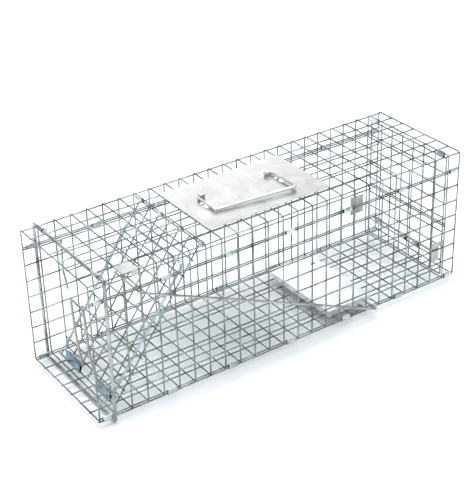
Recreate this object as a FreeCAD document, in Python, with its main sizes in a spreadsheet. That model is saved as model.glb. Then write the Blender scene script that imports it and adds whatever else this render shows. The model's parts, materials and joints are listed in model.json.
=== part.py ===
"""Collapsible live catch trap of welded wire mesh, in millimetres.

Cage frame, used while the pieces are drawn: X runs from the front edge to the rear,
Y from the near long side to the far one, Z up from the middle of the floor mesh.
Every piece is then moved by one shift, so that the origin lies on the ground under
the middle of the whole trap.
"""
import FreeCAD
import Part
import Sketcher
import math
import os
from FreeCAD import Placement, Rotation, Vector

doc = FreeCAD.newDocument("LiveCatchTrap")

# ---------------------------------------------------------------- driving dimensions
SIZES = [
    ("mesh_pitch", 25.4, "one inch mesh, centre to centre, along the cage and up the sides"),
    ("mesh_wire", 2.1, "diameter of the mesh wire"),
    ("weld_step", 1.95, "height between the two welded layers of wire"),
    ("cage_width", 180.8, "between the side panels, seven cells"),
    ("cage_length", 631.2, "from the first cross wire to the end wire"),
    ("full_cells", 24, "whole cells along the cage before the short last one"),
    ("cross_cells", 7, "cells across the cage"),
    ("pair_gap", 3.1, "height between the two wires of a top hinge line"),
    ("wire_overhang", 1.0, "how far a wire runs past the last one it is welded to"),
    ("corner_bend", 4.0, "bend of the roof wires over the long edges, to the wire centre"),
    ("sheet_gauge", 0.9, "galvanised sheet"),
    ("ferrule_length", 14.0, "sheet ferrule closed on a hinge line"),
    ("ferrule_cells", 4, "cells between two ferrules"),
    ("ferrule_gap", 0.3, "free radius of a loosely closed ferrule round its wires"),
    ("hoop_wire", 4.8, "front hoop"),
    ("hoop_reach", 21.6, "hoop behind the front edge"),
    ("hoop_side_gap", 0.4, "between the hoop's legs and the side mesh"),
    ("hoop_drop", 6.4, "hoop's lower bar under the middle of the floor mesh"),
    ("door_slope", 54.1, "closed door against the floor, degrees"),
    ("door_pitch", 24.9, "door mesh, down the slope"),
    ("door_cells", 10, "cells down the door"),
    ("door_hinge_cell", 7, "roof cross wire that the door hangs from"),
    ("hang_drop", 4.5, "door's top wire under the roof cross wire that carries its clips"),
    ("rear_drop", 6.6, "rear panel's top wire under its roof cross wire"),
    ("bail_wire", 3.8, "lock bail and pull loop"),
    ("bail_lift", 4.0, "bail in front of the door's cross wires"),
    ("bail_foot", 238.5, "bail's feet, down the slope from the hinge"),
    ("bail_head", 35.7, "bail's top bar, down the slope from the hinge"),
    ("trigger_wire", 3.2, "trigger rod"),
    ("trigger_cell", 18, "floor cross wire that the pan rocks on"),
    ("trigger_bar_front", 72.5, "bar of the trigger rod behind the front edge"),
    ("trigger_bar_height", 177.9, "bar of the trigger rod above the floor mesh"),
    ("rod_reach", 18.0, "lower end of the trigger rod outside the near side"),
    ("pan_height", 13.5, "top of the trigger pan"),
    ("pan_front", 397.0, "front edge of the pan"),
    ("pan_length", 80.0, "pan along the cage"),
    ("pan_near", 12.0, "near edge of the pan"),
    ("pan_width", 149.0, "pan across the cage"),
    ("plate_front", 202.3, "front edge of the handle plate"),
    ("plate_length", 206.0, "handle plate along the cage"),
    ("plate_near", 25.0, "near edge of the handle plate"),
    ("plate_width", 128.5, "handle plate across the cage"),
    ("handle_wire", 4.0, "carry handle"),
    ("handle_pivot", 107.0, "handle's pivot from the near side"),
    ("front_arm", 45.0, "handle's front arm, from its pivot to the middle of the grip"),
    ("rear_arm", 60.0, "handle's rear arm, bent longer than the front one"),
    ("running_gap", 0.3, "free radius round a wire that turns"),
    ("tight_gap", 0.05, "free radius round a wire that is clamped"),
    ("lock_wire", 3.5, "rear lock rod"),
]
sheet = doc.addObject("Spreadsheet::Sheet", "Sizes")
for row, (alias, value, note) in enumerate(SIZES, 1):
    sheet.set("A%d" % row, note)
    sheet.set("B%d" % row, str(value))
    sheet.setAlias("B%d" % row, alias)
doc.recompute()
S = {alias: float(sheet.get(alias)) for alias, value, note in SIZES}

WIRE_R = S["mesh_wire"] / 2
STEP = S["weld_step"]
PITCH = S["mesh_pitch"]
WIDTH = S["cage_width"]
LENGTH = S["cage_length"]
CROSS = WIDTH / S["cross_cells"]
GAUGE = S["sheet_gauge"]

# Heights of the long wires: floor, lowest and highest of a side, flange, roof.
FLOOR_LONG = -STEP / 2
FLOOR_CROSS = STEP / 2
SIDE_LOW = FLOOR_CROSS + S["mesh_wire"] + S["tight_gap"]
SIDE_HIGH = SIDE_LOW + 7 * PITCH
FLANGE_LOW = SIDE_HIGH + S["pair_gap"]
ROOF_LONG = FLANGE_LOW + PITCH
ROOF_CROSS = ROOF_LONG + STEP
BEND_END = ROOF_CROSS - S["corner_bend"]
HANG = ROOF_CROSS - S["hang_drop"]
REAR_HANG = ROOF_CROSS - S["rear_drop"]

HOOP_R = S["hoop_wire"] / 2
HOOP_SIDE = STEP + WIRE_R + S["hoop_side_gap"] + HOOP_R
ROD_R = S["trigger_wire"] / 2

# Cage frame to the ground frame.
SHIFT = {
    "x": "-Sizes.cage_length / 2",
    "y": "-(Sizes.cage_width + Sizes.weld_step + Sizes.mesh_wire / 2 + Sizes.hoop_side_gap"
         " + Sizes.hoop_wire - Sizes.rod_reach - Sizes.trigger_wire / 2) / 2",
    "z": "Sizes.hoop_drop + Sizes.hoop_wire / 2",
}

nodes = []


def publish(piece, label, base=Vector(0, 0, 0), rotation=Rotation()):
    """Name a finished piece and put it in the ground frame."""
    piece.Label = label
    piece.Placement = Placement(base, rotation)
    for axis in "xyz":
        piece.setExpression("Placement.Base." + axis,
                            "%r + (%s)" % (getattr(base, axis), SHIFT[axis]))
    nodes.append(piece)
    return piece


# ---------------------------------------------------------------- PartDesign helpers
def new_body(name):
    body = doc.addObject("PartDesign::Body", name)
    body.AllowCompound = True
    return body


def origin_item(body, role):
    return [item for item in body.Origin.OriginFeatures if item.Role == role][0]


def new_sketch(body, name, plane, offset):
    """Sketch on an origin plane; offset is along X, Y and Z of the body."""
    sketch = body.newObject("Sketcher::SketchObject", name)
    sketch.AttachmentSupport = [(origin_item(body, plane), "")]
    sketch.MapMode = "FlatFace"
    local = {"XY_Plane": offset,
             "XZ_Plane": Vector(offset.x, offset.z, -offset.y),
             "YZ_Plane": Vector(offset.y, offset.z, offset.x)}[plane]
    sketch.AttachmentOffset = Placement(local, Rotation())
    return sketch


def pad(body, sketch, name, length, plane):
    """Pad a sketch towards +X, +Y or +Z of the body."""
    feature = body.newObject("PartDesign::Pad", name)
    feature.Profile = sketch
    feature.Reversed = plane == "XZ_Plane"
    if isinstance(length, str):
        feature.setExpression("Length", length)
    else:
        feature.Length = length
    body.Tip = feature
    return feature


def repeat(body, feature, axis, count, pitch):
    """Row of equal features; count and pitch may be expressions."""
    row = body.newObject("PartDesign::LinearPattern", feature.Name + "Row")
    row.Originals = [feature]
    row.Direction = (origin_item(body, axis), "")
    row.setExpression("Occurrences", "%s" % count)
    row.setExpression("Length", "(%s) * ((%s) - 1)" % (pitch, count))
    body.Tip = row
    return row


def straight_wire(body, name, plane, start, length, diameter="Sizes.mesh_wire"):
    """Round wire from start along the normal of the plane."""
    sketch = new_sketch(body, name + "Section", plane, start)
    sketch.addGeometry(Part.Circle(Vector(0, 0, 0), Vector(0, 0, 1), 1.0), False)
    sketch.addConstraint(Sketcher.Constraint("Coincident", 0, 3, -1, 1))
    sketch.addConstraint(Sketcher.Constraint("Diameter", 0, 2.0))
    sketch.setExpression("Constraints[1]", diameter)
    return pad(body, sketch, name, length, plane)


def capsule_points(c1, r1, c2, r2):
    """Tangent points of the outline round two circles."""
    span = c2 - c1
    along = Vector(span).normalize()
    side = Vector(-along.y, along.x, 0)
    cosine = (r1 - r2) / span.Length
    sine = math.sqrt(1 - cosine ** 2)
    normals = [along * cosine + side * sine, along * cosine - side * sine]
    return [[c + n * r for n in normals] for c, r in ((c1, r1), (c2, r2))], along


def add_capsule(sketch, c1, r1, c2, r2):
    """Closed outline round two circles: two arcs and two tangent lines."""
    ((a, b), (c, d)), along = capsule_points(c1, r1, c2, r2)
    sketch.addGeometry([Part.Arc(a, c1 - along * r1, b), Part.LineSegment(b, d),
                        Part.Arc(d, c2 + along * r2, c), Part.LineSegment(c, a)], False)


def folded_clip(body, name, plane, start, c1, r1, c2, r2, length):
    """Sheet folded round two parallel wires, r1 and r2 being its free radii."""
    sketch = new_sketch(body, name + "Section", plane, start)
    add_capsule(sketch, c1, r1 + GAUGE, c2, r2 + GAUGE)
    add_capsule(sketch, c1, r1, c2, r2)
    return pad(body, sketch, name, length, plane)


def add_rectangle(sketch, x0, y0, x1, y1):
    corners = [Vector(x0, y0, 0), Vector(x1, y0, 0), Vector(x1, y1, 0), Vector(x0, y1, 0)]
    sketch.addGeometry([Part.LineSegment(corners[k], corners[(k + 1) % 4])
                        for k in range(4)], False)


# ---------------------------------------------------------------- bent wires
def bent_path(points, radii):
    """Straight runs joined by tangent arcs, one radius for each inner point."""
    edges, last = [], points[0]
    for before, corner, after, radius in zip(points, points[1:], points[2:], radii):
        back = (before - corner).normalize()
        ahead = (after - corner).normalize()
        half = back.getAngle(ahead) / 2
        reach = radius / math.tan(half)
        start, end = corner + back * reach, corner + ahead * reach
        middle_way = (back + ahead).normalize()
        centre = corner + middle_way * (radius / math.sin(half))
        edges.append(Part.LineSegment(last, start).toShape())
        edges.append(Part.Arc(start, centre - middle_way * radius, end).toShape())
        last = end
    edges.append(Part.LineSegment(last, points[-1]).toShape())
    return Part.Wire(edges)


def bent_wire(name, points, diameter, radii):
    """Round wire swept along the path, its diameter read from the sheet."""
    if not isinstance(radii, (list, tuple)):
        radii = [radii] * (len(points) - 2)
    path = doc.addObject("Part::Feature", name + "Path")
    path.Shape = bent_path(points, radii)
    section = doc.addObject("Part::Circle", name + "Section")
    section.setExpression("Radius", diameter + " / 2")
    heading = points[1] - points[0]
    section.Placement = Placement(points[0], Rotation(Vector(0, 0, 1), heading))
    sweep = doc.addObject("Part::Sweep", name + "Sweep")
    sweep.Sections = [section]
    sweep.Spine = (path, ["Edge%d" % (k + 1) for k in range(len(path.Shape.Edges))])
    sweep.Solid = True
    sweep.Frenet = False
    return sweep


def box(name, low, high):
    piece = doc.addObject("Part::Box", name)
    piece.Length, piece.Width, piece.Height = high - low
    piece.Placement = Placement(low, Rotation())
    return piece


def fuse(name, pieces):
    joined = doc.addObject("Part::MultiFuse", name)
    joined.Shapes = pieces
    return joined


def cut(name, base, tool):
    rest = doc.addObject("Part::Cut", name)
    rest.Base, rest.Tool = base, tool
    return rest


# ---------------------------------------------------------------- cage panels
LONG_RUN = "Sizes.cage_length + 2 * Sizes.wire_overhang"
CELLS = "Sizes.full_cells + 1"
OVER = S["wire_overhang"]


def mesh_floor():
    body = new_body("Floor")
    wire = straight_wire(body, "Long", "YZ_Plane", Vector(-OVER, 0, FLOOR_LONG), LONG_RUN)
    repeat(body, wire, "Y_Axis", "Sizes.cross_cells + 1",
           "Sizes.cage_width / Sizes.cross_cells")
    across = "Sizes.cage_width + 2 * Sizes.wire_overhang"
    wire = straight_wire(body, "Cross", "XZ_Plane", Vector(0, -OVER, FLOOR_CROSS), across)
    repeat(body, wire, "X_Axis", CELLS, "Sizes.mesh_pitch")
    straight_wire(body, "End", "XZ_Plane", Vector(LENGTH, -OVER, FLOOR_CROSS), across)
    publish(body, "bottom_panel")


def mesh_side(label, y_long, y_upright, low, rows, top):
    """Long wires stacked from low upwards, uprights outside them."""
    body = new_body("Upright" + label)
    wire = straight_wire(body, "Long", "YZ_Plane", Vector(-OVER, y_long, low), LONG_RUN)
    if rows > 1:
        repeat(body, wire, "Z_Axis", rows, "Sizes.mesh_pitch")
    foot = low - WIRE_R + 0.1
    wire = straight_wire(body, "Upright", "XY_Plane", Vector(0, y_upright, foot), top - foot)
    repeat(body, wire, "X_Axis", CELLS, "Sizes.mesh_pitch")
    straight_wire(body, "End", "XY_Plane", Vector(LENGTH, y_upright, foot), top - foot)
    publish(body, label)


def mesh_roof():
    """Flat roof whose cross wires turn down over both long edges."""
    body = new_body("Roof")
    wire = straight_wire(body, "Long", "YZ_Plane", Vector(-OVER, 0, ROOF_LONG), LONG_RUN)
    repeat(body, wire, "Y_Axis", "Sizes.cross_cells + 1",
           "Sizes.cage_width / Sizes.cross_cells")
    bend = S["corner_bend"]
    near, far = -STEP, WIDTH + STEP
    wires = []
    for name, x in (("Cross", 0), ("End", LENGTH)):
        spine = new_sketch(body, name + "Line", "YZ_Plane", Vector(x, 0, 0))
        turn = bend * (1 - math.sqrt(0.5))
        a, b = Vector(near, BEND_END, 0), Vector(near + bend, ROOF_CROSS, 0)
        c, d = Vector(far - bend, ROOF_CROSS, 0), Vector(far, BEND_END, 0)
        spine.addGeometry([
            Part.Arc(a, Vector(near + turn, ROOF_CROSS - turn, 0), b),
            Part.LineSegment(b, c),
            Part.Arc(c, Vector(far - turn, ROOF_CROSS - turn, 0), d)], False)
        section = new_sketch(body, name + "Section", "XY_Plane", Vector(x, near, BEND_END))
        section.addGeometry(Part.Circle(Vector(0, 0, 0), Vector(0, 0, 1), WIRE_R), False)
        pipe = body.newObject("PartDesign::AdditivePipe", name)
        pipe.Profile = section
        pipe.Spine = (spine, ["Edge1", "Edge2", "Edge3"])
        body.Tip = pipe
        wires.append(pipe)
        if name == "Cross":
            repeat(body, pipe, "X_Axis", CELLS, "Sizes.mesh_pitch")
    publish(body, "top_panel")


mesh_floor()
mesh_side("side_panel_near", 0, -STEP, SIDE_LOW, 8, SIDE_HIGH + WIRE_R - 0.1)
mesh_side("side_panel_far", WIDTH, WIDTH + STEP, SIDE_LOW, 8, SIDE_HIGH + WIRE_R - 0.1)
mesh_roof()
mesh_side("top_flange_near", 0, -STEP, FLANGE_LOW, 1, BEND_END)
mesh_side("top_flange_far", WIDTH, WIDTH + STEP, FLANGE_LOW, 1, BEND_END)


def ferrules(label, y, low, high):
    """Open sheet ferrules round both wires of a hinge line, one in every fourth cell.

    Each hangs a little outwards, so that it rests against the inner side of its wires.
    """
    body = new_body("Ferrules" + label)
    start = Vector(PITCH / 2 - S["ferrule_length"] / 2, 0, 0)
    free = WIRE_R + S["ferrule_gap"]
    y += math.copysign(S["ferrule_gap"] - S["tight_gap"], y - WIDTH / 2)
    clip = folded_clip(body, "Ferrule", "YZ_Plane", start, Vector(y, low, 0), free,
                       Vector(y, high, 0), free, "Sizes.ferrule_length")
    repeat(body, clip, "X_Axis", 7, "Sizes.mesh_pitch * Sizes.ferrule_cells")
    publish(body, label)


ferrules("ferrules_bottom_near", 0, FLOOR_LONG, SIDE_LOW)
ferrules("ferrules_bottom_far", WIDTH, FLOOR_LONG, SIDE_LOW)
ferrules("ferrules_top_near", 0, SIDE_HIGH, FLANGE_LOW)
ferrules("ferrules_top_far", WIDTH, SIDE_HIGH, FLANGE_LOW)


def wire_clips(label, start_y, width, count, pitch, fixed, turning, turning_r):
    """Sheet clips along Y: tight on a fixed cage wire, free round a turning wire."""
    body = new_body("Clips" + label)
    clip = folded_clip(body, "Clip", "XZ_Plane", Vector(0, start_y, 0),
                       fixed, WIRE_R + S["tight_gap"], turning, turning_r + S["running_gap"],
                       width)
    repeat(body, clip, "Y_Axis", count, pitch)
    publish(body, label)


HOOP_TOP = Vector(S["hoop_reach"], ROOF_CROSS + 2.0, 0)
DOOR_X = S["door_hinge_cell"] * PITCH
REAR_X = S["full_cells"] * PITCH
wire_clips("hoop_clips", 6.8, 16.5, 2, 150.7, Vector(PITCH, ROOF_CROSS, 0),
           HOOP_TOP, HOOP_R)
wire_clips("door_ring_clips", 3.6, 7.0, 4, 51.2, Vector(DOOR_X, ROOF_CROSS, 0),
           Vector(DOOR_X, HANG, 0), WIRE_R)
wire_clips("rear_hinge_clips", 8.2, 14.0, 2, WIDTH - 30.4, Vector(REAR_X, ROOF_CROSS, 0),
           Vector(REAR_X, REAR_HANG, 0), WIRE_R)

# ---------------------------------------------------------------- sheet on the cage
PLATE_LOW = ROOF_CROSS + WIRE_R + 2 * S["tight_gap"]
PLATE_TOP = PLATE_LOW + GAUGE
HANDLE_R = S["handle_wire"] / 2
EAR_Z = PLATE_TOP + HANDLE_R + S["running_gap"] + GAUGE + S["tight_gap"]
EAR_X = (239.5, 353.5)
EAR_W = 8.0
ARM_X = (EAR_X[0] - 1.0 - HANDLE_R, EAR_X[1] + EAR_W + 1.0 + HANDLE_R)


def handle_plate():
    """Sheet on the roof: tabs close round two cross wires, a window under each handle arm."""
    low = Vector(S["plate_front"], S["plate_near"], PLATE_LOW)
    sheet_box = box("PlateSheet", low,
                    low + Vector(S["plate_length"], S["plate_width"], GAUGE))
    windows = [box("Window%d" % k, Vector(x - 4.5, 78.0, PLATE_LOW - 1),
                   Vector(x + 4.5, 98.0, PLATE_TOP + 1))
               for k, x in enumerate(ARM_X)]
    opened = cut("PlateOpened", sheet_box, fuse("Windows", windows))
    tabs = new_body("PlateTabs")
    for name, cell in (("FrontTab", 8), ("RearTab", 16)):
        sketch = new_sketch(tabs, name + "Section", "XZ_Plane",
                            Vector(cell * PITCH, 1.25 * CROSS, ROOF_CROSS))
        for radius in (WIRE_R + S["tight_gap"], WIRE_R + S["tight_gap"] + 0.8):
            sketch.addGeometry(Part.Circle(Vector(0, 0, 0), Vector(0, 0, 1), radius), False)
        tab = pad(tabs, sketch, name, CROSS / 2, "XZ_Plane")
        repeat(tabs, tab, "Y_Axis", 5 if cell == 8 else 4,
               "Sizes.cage_width / Sizes.cross_cells")
    publish(fuse("PlateWhole", [opened, tabs]), "handle_plate")


def handle_ears():
    """Two curled sheet ears on the plate, the handle's bearings."""
    body = new_body("Ears")
    y, z = S["handle_pivot"], EAR_Z
    free = HANDLE_R + S["running_gap"]
    for k, x in enumerate(EAR_X):
        sketch = new_sketch(body, "Ear%dSection" % k, "YZ_Plane", Vector(x, 0, 0))
        outer = free + GAUGE
        sketch.addGeometry([
            Part.Arc(Vector(y, z - outer, 0), Vector(y + outer, z, 0),
                     Vector(y, z + outer, 0)),
            Part.Arc(Vector(y, z + outer, 0),
                     Vector(y - outer * math.cos(0.6), z + outer * math.sin(0.6), 0),
                     Vector(y - outer, z, 0)),
            Part.LineSegment(Vector(y - outer, z, 0), Vector(y - outer, PLATE_TOP, 0)),
            Part.LineSegment(Vector(y - outer, PLATE_TOP, 0), Vector(y, PLATE_TOP, 0)),
            Part.LineSegment(Vector(y, PLATE_TOP, 0), Vector(y, z - outer, 0))], False)
        sketch.addGeometry(Part.Circle(Vector(y, z, 0), Vector(0, 0, 1), free), False)
        pad(body, sketch, "Ear%d" % k, EAR_W, "YZ_Plane")
    publish(body, "handle_brackets")


def trigger_bracket():
    """Small sheet on the roof with its near edge folded down outside the flange."""
    side = -STEP - WIRE_R - S["tight_gap"]
    front = 2 * PITCH - 1.0
    top = box("BracketTop", Vector(front, side - GAUGE, PLATE_LOW),
              Vector(front + 22.5, 19.0, PLATE_TOP))
    skirt = box("BracketSkirt", Vector(front + 14.0, side - GAUGE, PLATE_TOP - 9.0),
                Vector(front + 22.5, side, PLATE_TOP))
    publish(fuse("BracketWhole", [top, skirt]), "trigger_bracket")


def latch_plates():
    """Sheet against the inside of a side panel; the near one has the lock rod's slot."""
    inner = WIRE_R + S["tight_gap"]
    plate = box("NearLatch", Vector(587.5, inner, 34.0), Vector(612.0, inner + GAUGE, 66.0))
    slot = box("LatchSlot", Vector(603.0, inner - 1, 35.8), Vector(608.8, inner + 2, 58.0))
    publish(cut("NearLatchWhole", plate, slot), "latch_plate_near")
    publish(box("FarLatch", Vector(574.0, WIDTH - inner - GAUGE, 44.5),
                Vector(600.0, WIDTH - inner, 76.0)), "latch_plate_far",
            Vector(574.0, WIDTH - inner - GAUGE, 44.5))


handle_plate()
handle_ears()
trigger_bracket()
latch_plates()

# ---------------------------------------------------------------- front hoop and hook
hoop_low = -S["hoop_drop"]
near_leg, far_leg = -HOOP_SIDE, WIDTH + HOOP_SIDE
x, top = HOOP_TOP.x, HOOP_TOP.y
middle = WIDTH / 2
hoop = bent_wire("Hoop", [
    Vector(x, middle, top), Vector(x, far_leg, top), Vector(x, far_leg, hoop_low),
    Vector(x, near_leg, hoop_low), Vector(x, near_leg, top), Vector(x, middle - 0.6, top)],
    "Sizes.hoop_wire", 5.5)
publish(hoop, "front_hoop")

hook_x = PITCH + WIRE_R + S["running_gap"] + 1.5
hook_y = 118.0
hook = bent_wire("Hook", [
    Vector(PITCH + 0.6, hook_y, ROOF_CROSS + 3.6), Vector(hook_x, hook_y, ROOF_CROSS + 3.1),
    Vector(hook_x, 122.0, 166.0), Vector(hook_x, 113.0, 142.0)],
    "Sizes.trigger_wire * 0.9", 1.6)
publish(hook, "hanging_hook")

# ---------------------------------------------------------------- door
# Drawn flat: X down the slope from the hinge, Z out of its rear face.
DOOR_TURN = Rotation(Vector(0, 1, 0), 180 - S["door_slope"])
DOOR_BASE = Vector(DOOR_X, 0, HANG)
DOOR_END = S["door_pitch"] * S["door_cells"]


def door_panel():
    body = new_body("Door")
    straight_wire(body, "Hinge", "XZ_Plane", Vector(0, 3.0, 0), "Sizes.cage_width - 6")
    wire = straight_wire(body, "Cross", "XZ_Plane", Vector(S["door_pitch"], 8.0, 0),
                         "Sizes.cage_width - 16")
    repeat(body, wire, "X_Axis", "Sizes.door_cells", "Sizes.door_pitch")
    first = WIDTH / 2 - 3 * PITCH
    wire = straight_wire(body, "Long", "YZ_Plane", Vector(-0.9, first, STEP),
                         "Sizes.door_pitch * Sizes.door_cells + 1.8")
    repeat(body, wire, "Y_Axis", 7, "Sizes.mesh_pitch")
    publish(body, "door_panel", DOOR_BASE, DOOR_TURN)


CLIP_SPANS = ((26.0, 63.0), (109.5, 147.0))


def bail_clips():
    """Two sheets folded round the door's last wire and round the bail's feet."""
    body = new_body("BailClips")
    for k, (y0, y1) in enumerate(CLIP_SPANS):
        folded_clip(body, "BailClip%d" % k, "XZ_Plane", Vector(0, y0, 0),
                    Vector(S["bail_foot"], -S["bail_lift"], 0),
                    S["bail_wire"] / 2 + S["running_gap"],
                    Vector(DOOR_END, 0, 0), WIRE_R + S["tight_gap"], y1 - y0)
    first = WIDTH / 2 - 3 * PITCH
    notches = []
    for k in range(7):
        y = first + k * PITCH
        if any(y0 - 2 < y < y1 + 2 for y0, y1 in CLIP_SPANS):
            notches.append(box("Notch%d" % k, Vector(DOOR_END - 14, y - 1.3, 0.85),
                               Vector(DOOR_END + 3, y + 1.3, 4.0)))
    publish(cut("BailClipsWhole", body, fuse("Notches", notches)),
            "bail_clips", DOOR_BASE, DOOR_TURN)


door_panel()
bail_clips()

foot, head, lift = S["bail_foot"], S["bail_head"], -S["bail_lift"]
bail = bent_wire("Bail", [
    Vector(foot, 43.5, lift), Vector(foot, 21.5, lift), Vector(head, 18.0, lift),
    Vector(head, 162.5, lift), Vector(foot, 158.5, lift), Vector(foot, 128.0, lift)],
    "Sizes.bail_wire", (3.5, 9.0, 9.0, 3.5))
publish(bail, "lock_bail", DOOR_BASE, DOOR_TURN)

foot_point = DOOR_BASE + DOOR_TURN.multVec(Vector(foot, 0, lift))
loop_top = Vector(27.6, 0, 129.0)


def loop_point(share, y):
    """Point on the loop's leaning plane, share 0 at its feet and 1 at its top bar."""
    at = foot_point + (loop_top - foot_point) * share
    return Vector(at.x, y, at.z)


loop = bent_wire("Loop", [
    loop_point(0, 47.0), loop_point(0, 66.0), loop_point(0.35, 76.0), loop_point(1, 71.6),
    loop_point(1, 107.0), loop_point(0.45, 110.0), loop_point(0, 104.0),
    loop_point(0, 125.0)], "Sizes.bail_wire", (3.0, 5.0, 5.0, 5.0, 5.0, 3.0))
publish(loop, "pull_loop")

# ---------------------------------------------------------------- trigger
PIVOT = Vector(S["trigger_cell"] * PITCH, 0, FLOOR_CROSS)


def trigger_pan():
    """Pressed sheet pan with turned-down edges and two tabs round a floor wire."""
    low = Vector(S["pan_front"], S["pan_near"], S["pan_height"] - GAUGE)
    high = Vector(S["pan_front"] + S["pan_length"], S["pan_near"] + S["pan_width"],
                  S["pan_height"])
    skirt = 4.2
    pieces = [box("PanTop", low, high),
              box("PanFront", Vector(low.x, low.y, skirt), Vector(low.x + GAUGE, high.y, high.z)),
              box("PanNear", Vector(low.x, low.y, skirt), Vector(high.x, low.y + GAUGE, high.z)),
              box("PanFar", Vector(low.x, high.y - GAUGE, skirt), high),
              box("PanRear", Vector(high.x - GAUGE, low.y, skirt + 4.0), high)]
    whole = fuse("PanPressed", pieces)
    free = WIRE_R + S["running_gap"]
    slots, tabs = [], new_body("PanTabs")
    for k, y in enumerate((40.5, 132.5)):
        slots.append(box("PanSlot%d" % k, Vector(PIVOT.x + free + GAUGE, y - 1, low.z - 1),
                         Vector(PIVOT.x + free + GAUGE + 8, y + 9, high.z + 1)))
        sketch = new_sketch(tabs, "Tab%dSection" % k, "XZ_Plane", Vector(PIVOT.x, y, PIVOT.z))
        for radius in (free, free + GAUGE):
            sketch.addGeometry(Part.Circle(Vector(0, 0, 0), Vector(0, 0, 1), radius), False)
        pad(tabs, sketch, "TabCurl%d" % k, 8.0, "XZ_Plane")
        sketch = new_sketch(tabs, "Stem%dSection" % k, "XZ_Plane", Vector(PIVOT.x, y, PIVOT.z))
        add_rectangle(sketch, free, 0, free + GAUGE, S["pan_height"] - PIVOT.z)
        pad(tabs, sketch, "TabStem%d" % k, 8.0, "XZ_Plane")
    cut_pan = cut("PanCut", whole, fuse("PanSlots", slots))
    publish(fuse("PanWhole", [cut_pan, tabs]), "trigger_pan")


trigger_pan()

rod_x = 465.0
rod = bent_wire("TriggerRod", [
    Vector(S["trigger_bar_front"], 60.0, S["trigger_bar_height"]),
    Vector(S["trigger_bar_front"], -6.4, S["trigger_bar_height"]),
    Vector(rod_x, -S["rod_reach"], 7.0),
    Vector(rod_x, S["pan_near"], 7.0)], "Sizes.trigger_wire", 4.0)
publish(rod, "trigger_rod")

# ---------------------------------------------------------------- carry handle
pivot_y = S["handle_pivot"]
front_grip = Vector(ARM_X[0], pivot_y - S["front_arm"], PLATE_TOP + HANDLE_R + 0.6)
rear_grip = Vector(ARM_X[1], pivot_y - S["rear_arm"], PLATE_TOP + HANDLE_R + 2.6)
handle = bent_wire("Handle", [
    Vector(EAR_X[0] + EAR_W + 1.5, pivot_y, EAR_Z), Vector(ARM_X[0], pivot_y, EAR_Z),
    front_grip, rear_grip,
    Vector(ARM_X[1], pivot_y, EAR_Z), Vector(EAR_X[1] - 1.5, pivot_y, EAR_Z)],
    "Sizes.handle_wire", 4.0)
publish(handle, "carry_handle")

# ---------------------------------------------------------------- rear panel and lock rod
REAR_ROWS = 9
REAR_STEP = 24.9
ROD_AT = Vector(REAR_X - WIRE_R - S["lock_wire"] / 2 - 0.9, 40.5, 0)
ROW_AT = Vector(REAR_X, REAR_HANG - 7 * REAR_STEP, 0)


def rear_panel():
    """Hanging mesh end: rows of cross wires, uprights behind them, a stiffening pair."""
    body = new_body("Rear")
    wire = straight_wire(body, "Row", "XZ_Plane", Vector(REAR_X, 3.6, REAR_HANG),
                         "Sizes.cage_width - 7.2")
    row = body.newObject("PartDesign::LinearPattern", "RowRow")
    row.Originals = [wire]
    row.Direction = (origin_item(body, "Z_Axis"), "")
    row.Reversed = True
    row.Occurrences, row.Length = REAR_ROWS, REAR_STEP * (REAR_ROWS - 1)
    body.Tip = row
    foot = REAR_HANG - REAR_STEP * (REAR_ROWS - 1) - 0.9
    wire = straight_wire(body, "Upright", "XY_Plane",
                         Vector(REAR_X + STEP, 4.7, foot), REAR_HANG + 0.9 - foot)
    repeat(body, wire, "Y_Axis", 8, "(Sizes.cage_width - 9.4) / 7")
    for k, z in enumerate((88.6, 92.2)):
        straight_wire(body, "Stiffener%d" % k, "XZ_Plane",
                      Vector(REAR_X + 2 * STEP, 3.6, z), "Sizes.cage_width - 7.2")
    publish(body, "rear_panel")


def lock_rod_clips():
    """Sheet clips tight on a row of the rear panel and free round the lock rod."""
    body = new_body("LockClips")
    for k, (y, width) in enumerate(((54.0, 8.0), (83.0, 8.0), (141.0, 14.0))):
        folded_clip(body, "LockClip%d" % k, "XZ_Plane", Vector(0, y, 0),
                    ROW_AT, WIRE_R + S["tight_gap"],
                    ROD_AT, S["lock_wire"] / 2 + S["running_gap"], width)
    slots = []
    for k in range(8):
        y = 4.7 + k * (WIDTH - 9.4) / 7
        slots.append(box("ClipNotch%d" % k, Vector(REAR_X + 0.85, y - 1.3, ROW_AT.y - 4),
                         Vector(REAR_X + 4, y + 1.3, ROW_AT.y + 8)))
    publish(cut("LockClipsWhole", body, fuse("ClipNotches", slots)), "lock_rod_clips")


rear_panel()
lock_rod_clips()

lock = new_body("LockRod")
straight_wire(lock, "Rod", "XZ_Plane", Vector(ROD_AT.x, 24.0, ROD_AT.y), 133.0,
              "Sizes.lock_wire")
publish(lock, "rear_lock_rod")

# ---------------------------------------------------------------- checks and export
doc.recompute()
problems = []
for item in doc.Objects:
    if any(word in item.State for word in ("Invalid", "Error")):
        problems.append("%s is %s" % (item.Label, item.State))
for piece in nodes:
    if piece.Shape.isNull() or not piece.Shape.isValid() or not piece.Shape.Solids:
        problems.append("%s has no valid shape" % piece.Label)
if problems:
    raise RuntimeError("; ".join(problems))

os.makedirs("parts", exist_ok=True)
whole = FreeCAD.BoundBox()
for piece in nodes:
    shape = piece.Shape
    whole.add(shape.BoundBox)
    print("%-22s solids %2d  volume %9.1f" % (piece.Label, len(shape.Solids), shape.Volume))
    shape.exportStep("parts/%s.step" % piece.Label)
print("nodes %d, box %s" % (len(nodes), whole))
print("shift %s" % [round(nodes[0].Placement.Base[k], 3) for k in range(3)])
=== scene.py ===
"""Live catch trap of galvanised mesh: materials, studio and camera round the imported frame.

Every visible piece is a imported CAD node, so the script only gives the nodes their zinc
finishes. All lengths are in metres.
"""
import json
import math

import bpy
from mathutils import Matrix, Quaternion, Vector

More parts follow.
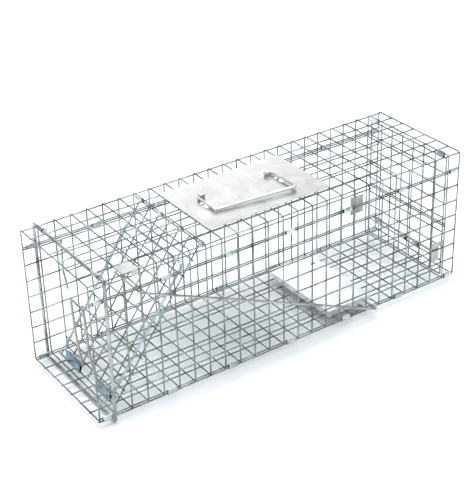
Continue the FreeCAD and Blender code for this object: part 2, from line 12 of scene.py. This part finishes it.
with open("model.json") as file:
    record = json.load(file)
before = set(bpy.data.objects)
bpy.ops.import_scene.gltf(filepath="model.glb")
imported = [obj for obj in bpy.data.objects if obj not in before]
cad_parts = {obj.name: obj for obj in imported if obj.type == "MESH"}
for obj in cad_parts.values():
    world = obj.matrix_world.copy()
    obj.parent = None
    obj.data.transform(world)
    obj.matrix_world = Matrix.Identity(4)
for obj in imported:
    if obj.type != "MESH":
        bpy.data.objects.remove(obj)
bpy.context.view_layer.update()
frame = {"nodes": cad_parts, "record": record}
nodes = frame["nodes"]

# ---------------------------------------------------------------- finishes
# Texture scales are features per metre.
PATCH_SCALE = 34.0
GRAIN_SCALE = 420.0
DRIP_SCALE = 700.0
CLOUD_SCALE = 22.0
SPANGLE_SCALE = 75.0
SPANGLE_SHARE = 0.35
SCRATCH_SCALE = 3.0
SCRATCH_STRETCH = (30.0, 400.0, 400.0)
WIRE_RELIEF = 0.0002
SHEET_RELIEF = 0.0001

# ---------------------------------------------------------------- studio and camera
FLOOR_HALF = 60.0
FLOOR_COLOUR = (0.94, 0.945, 0.95, 1.0)
FLOOR_ROUGHNESS = 0.55
LIGHT_TARGET = (0.0, 0.0, 0.1)
# name, place, width and depth, watts
SOFTBOXES = [
    ("overhead", (0.3, 0.3, 2.8), (2.4, 2.0), 62.0),
    ("left_fill", (-2.2, -1.2, 1.4), (0.9, 0.9), 9.0),
    ("rear_rim", (1.2, 2.2, 1.2), (1.0, 0.6), 7.0),
]
SKY_STRENGTH = 0.95
# height of the direction looked in, colour
SKY_STOPS = [(0.0, (0.50, 0.54, 0.56)), (0.45, (0.86, 0.92, 0.96))]
CAMERA_PLACE = (-0.9412, -1.3482, 1.0769)
CAMERA_AIM = (0.0079, 0.0546, 0.1138)
CAMERA_ROLL = math.radians(-1.61)
CAMERA_LENS = 98.7
CAMERA_REACH = 50.0


# ---------------------------------------------------------------- shader helpers
def new_material(name):
    material = bpy.data.materials.new(name)
    material.use_nodes = True
    tree = material.node_tree
    return material, tree, tree.nodes["Principled BSDF"]


def position(tree, stretch=(1.0, 1.0, 1.0)):
    """Object coordinates, so that the grain stays on the piece."""
    coordinates = tree.nodes.new("ShaderNodeTexCoord")
    mapping = tree.nodes.new("ShaderNodeMapping")
    mapping.inputs["Scale"].default_value = stretch
    tree.links.new(coordinates.outputs["Object"], mapping.inputs["Vector"])
    return mapping.outputs["Vector"]


def noise(tree, vector, scale, detail):
    node = tree.nodes.new("ShaderNodeTexNoise")
    node.inputs["Scale"].default_value = scale
    node.inputs["Detail"].default_value = detail
    node.inputs["Roughness"].default_value = 0.55
    tree.links.new(vector, node.inputs["Vector"])
    return node.outputs["Fac"]


def ramp(tree, value, stops):
    """Blend through the colours of the stops as the value rises."""
    node = tree.nodes.new("ShaderNodeValToRGB")
    for element, (at, colour) in zip(node.color_ramp.elements, stops):
        element.position = at
        element.color = (*colour, 1.0)
    tree.links.new(value, node.inputs["Fac"])
    return node.outputs["Color"]


def spread(tree, value, low, high, start, end):
    """Map the value from start..end to low..high."""
    node = tree.nodes.new("ShaderNodeMapRange")
    node.inputs["From Min"].default_value = start
    node.inputs["From Max"].default_value = end
    node.inputs["To Min"].default_value = low
    node.inputs["To Max"].default_value = high
    tree.links.new(value, node.inputs["Value"])
    return node.outputs["Result"]


def bump(tree, shader, height, strength, distance):
    node = tree.nodes.new("ShaderNodeBump")
    node.inputs["Strength"].default_value = strength
    node.inputs["Distance"].default_value = distance
    tree.links.new(height, node.inputs["Height"])
    tree.links.new(node.outputs["Normal"], shader.inputs["Normal"])


def spangle(tree, at, scale):
    """Flower-like zinc crystals, each of its own grey, under soft clouds."""
    cells = tree.nodes.new("ShaderNodeTexVoronoi")
    cells.inputs["Scale"].default_value = scale
    cells.inputs["Randomness"].default_value = 1.0
    tree.links.new(at, cells.inputs["Vector"])
    grey = tree.nodes.new("ShaderNodeRGBToBW")
    tree.links.new(cells.outputs["Color"], grey.inputs["Color"])
    mix = tree.nodes.new("ShaderNodeMath")
    mix.operation = "MULTIPLY_ADD"
    mix.inputs[1].default_value = SPANGLE_SHARE
    tree.links.new(grey.outputs["Val"], mix.inputs[0])
    tree.links.new(noise(tree, at, CLOUD_SCALE, 6.0), mix.inputs[2])
    return mix.outputs["Value"]


# ---------------------------------------------------------------- materials
def zinc_wire(name, dull, fresh, rough):
    """Zinc-coated wire: dull and fresh patches, drawn grain and small drips of coating."""
    material, tree, shader = new_material(name)
    shader.inputs["Metallic"].default_value = 1.0
    at = position(tree)
    patches = noise(tree, at, PATCH_SCALE, 5.0)
    tree.links.new(ramp(tree, patches, [(0.32, dull), (0.68, fresh)]),
                   shader.inputs["Base Color"])
    grain = noise(tree, at, GRAIN_SCALE, 3.0)
    tree.links.new(spread(tree, grain, rough - 0.08, rough + 0.12, 0.3, 0.7),
                   shader.inputs["Roughness"])
    bump(tree, shader, noise(tree, at, DRIP_SCALE, 2.0), 0.25, WIRE_RELIEF)
    return material


def zinc_sheet(name, dull, fresh, rough, spangle_scale=SPANGLE_SCALE, relief=0.12):
    """Galvanised sheet: flower-like spangles, soft clouds and fine scratches."""
    material, tree, shader = new_material(name)
    shader.inputs["Metallic"].default_value = 1.0
    pattern = spangle(tree, position(tree), spangle_scale)
    tree.links.new(ramp(tree, pattern, [(0.4, dull), (0.9, fresh)]),
                   shader.inputs["Base Color"])
    tree.links.new(spread(tree, pattern, rough - 0.05, rough + 0.1, 0.4, 0.9),
                   shader.inputs["Roughness"])
    scratches = noise(tree, position(tree, SCRATCH_STRETCH), SCRATCH_SCALE, 2.0)
    bump(tree, shader, scratches, relief, SHEET_RELIEF)
    return material


# One finish for each material slot of the record.
SLOT_FINISHES = {
    "mesh_wire": zinc_wire("galvanised_mesh", (0.075, 0.085, 0.083), (0.38, 0.44, 0.43), 0.20),
    "zinc_rod": zinc_wire("zinc_rod", (0.26, 0.25, 0.23), (0.58, 0.57, 0.54), 0.22),
    "blue_zinc": zinc_wire("blue_passivated_rod", (0.30, 0.38, 0.43), (0.74, 0.84, 0.90), 0.16),
    "bright_rod": zinc_wire("bright_rod", (0.62, 0.64, 0.63), (0.88, 0.90, 0.89), 0.12),
    "clip_steel": zinc_sheet("clip_steel", (0.24, 0.27, 0.28), (0.74, 0.78, 0.79), 0.22, 120.0),
    "galvanised_sheet": zinc_sheet("galvanised_sheet", (0.375, 0.365, 0.35),
                                   (0.56, 0.56, 0.54), 0.36),
}
# Nodes whose finish differs from the rest of their slot.
NODE_FINISHES = {
    "trigger_pan": zinc_sheet("pan_sheet", (0.78, 0.79, 0.78), (0.90, 0.91, 0.90),
                              0.30, 40.0, 0.02),
    # painted shade: the hoop gets a darker copy of the zinc rod finish, standing in for the
    # dark reflections along it
    "front_hoop": zinc_wire("hoop_rod_painted_shade", (0.17, 0.18, 0.17), (0.58, 0.59, 0.57), 0.14),
    # bluish passivated tint, with painted shade: the clips are darkened to near black to stand
    # in for the dark reflections in their curls
    "bail_clips": zinc_sheet("blue_passivated_sheet_painted_shade", (0.07, 0.12, 0.15), (0.42, 0.56, 0.63),
                             0.18, 150.0),
}


def dress_nodes():
    slots = {part["node"]: part["material_slot"] for part in frame["record"]["subparts"]}
    for name, node in nodes.items():
        node.data.materials.clear()
        node.data.materials.append(NODE_FINISHES.get(name, SLOT_FINISHES[slots[name]]))


# ---------------------------------------------------------------- studio
def studio_floor():
    mesh = bpy.data.meshes.new("studio_floor")
    half = FLOOR_HALF
    mesh.from_pydata([(-half, -half, 0), (half, -half, 0), (half, half, 0), (-half, half, 0)],
                     [], [(0, 1, 2, 3)])
    floor = bpy.data.objects.new("studio_floor", mesh)
    bpy.context.scene.collection.objects.link(floor)
    material, tree, shader = new_material("pale_floor")
    shader.inputs["Base Color"].default_value = FLOOR_COLOUR
    shader.inputs["Roughness"].default_value = FLOOR_ROUGHNESS
    mesh.materials.append(material)


def softbox(name, location, size, power):
    light = bpy.data.lights.new(name, "AREA")
    light.shape = "RECTANGLE"
    light.size, light.size_y = size
    light.energy = power
    lamp = bpy.data.objects.new(name, light)
    lamp.location = location
    towards = Vector(LIGHT_TARGET) - Vector(location)
    lamp.rotation_euler = towards.to_track_quat("-Z", "Y").to_euler()
    bpy.context.scene.collection.objects.link(lamp)


def sky():
    """Pale surroundings, greyer at the horizon so that the wires keep their contrast."""
    world = bpy.data.worlds.new("studio")
    world.use_nodes = True
    bpy.context.scene.world = world
    tree = world.node_tree
    background = tree.nodes["Background"]
    background.inputs["Strength"].default_value = SKY_STRENGTH
    direction = tree.nodes.new("ShaderNodeTexCoord")
    height = tree.nodes.new("ShaderNodeSeparateXYZ")
    tree.links.new(direction.outputs["Generated"], height.inputs["Vector"])
    tree.links.new(ramp(tree, height.outputs["Z"], SKY_STOPS), background.inputs["Color"])


def camera():
    lens = bpy.data.cameras.new("camera")
    lens.lens = CAMERA_LENS
    lens.clip_end = CAMERA_REACH
    viewer = bpy.data.objects.new("camera", lens)
    viewer.location = CAMERA_PLACE
    aim = Vector(CAMERA_AIM) - viewer.location
    roll = Quaternion((0.0, 0.0, 1.0), CAMERA_ROLL)
    viewer.rotation_mode = "QUATERNION"
    viewer.rotation_quaternion = aim.to_track_quat("-Z", "Y") @ roll
    bpy.context.scene.collection.objects.link(viewer)
    bpy.context.scene.camera = viewer
    bpy.context.scene.view_settings.view_transform = "Standard"


dress_nodes()
studio_floor()
for name, location, size, power in SOFTBOXES:
    softbox(name, location, size, power)
sky()
camera()
